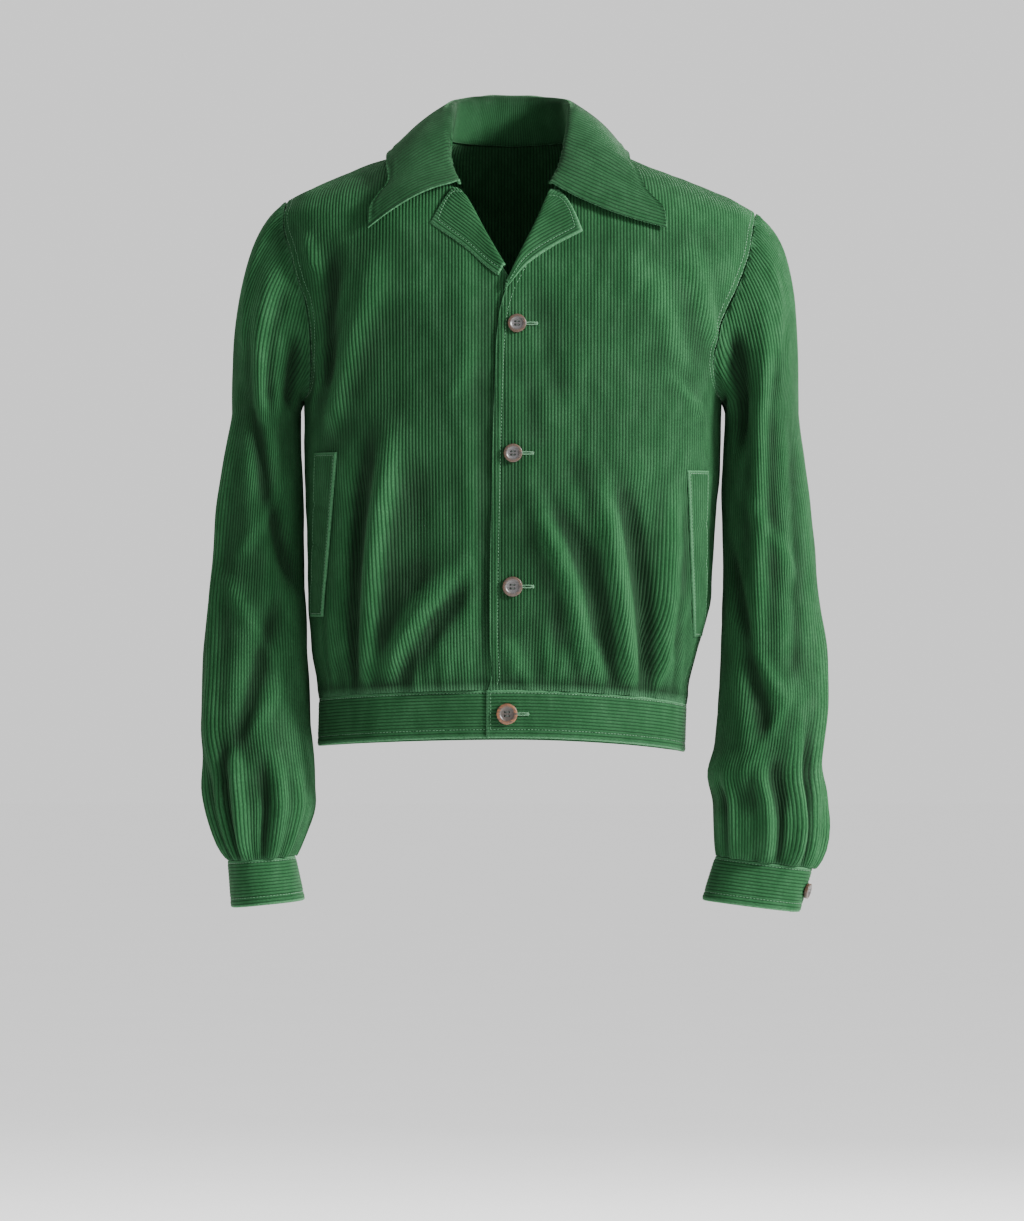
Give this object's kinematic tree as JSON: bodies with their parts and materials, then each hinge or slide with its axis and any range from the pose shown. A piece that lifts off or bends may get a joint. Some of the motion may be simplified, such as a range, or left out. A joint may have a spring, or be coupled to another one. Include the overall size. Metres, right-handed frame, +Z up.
{
  "type": "corduroy jacket",
  "caption": "Green corduroy cropped jacket in its hollow worn form, with a wide camp collar, lapels, welt pockets, a buttoned front, waistband and full sleeves gathered into buttoned cuffs.",
  "frame": {"origin": "between the shoulders at the base of the neck, where the wearer's shoulders hold it", "axes": "+Z up the wearer's back, the front faces -Y, +X to the wearer's left"},
  "size_m": [0.6301, 0.2758, 0.8235],
  "materials": {
    "corduroy": "matt",
    "corduroy_trim": "matt",
    "horn": "gloss"
  },
  "bodies": {
    "root": {"front_left": "corduroy", "sleeve_left": "corduroy", "cuff_left": "corduroy_trim", "lapel_left": "corduroy", "pocket_welt_left": "corduroy_trim", "front_right": "corduroy", "sleeve_right": "corduroy", "cuff_right": "corduroy_trim", "lapel_right": "corduroy", "pocket_welt_right": "corduroy_trim", "back": "corduroy", "waistband": "corduroy_trim", "collar": "corduroy", "button_top": "horn", "button_middle": "horn", "button_lower": "horn", "button_waistband": "horn", "button_cuff_left": "horn", "button_cuff_right": "horn"}
  },
  "joints": []
}
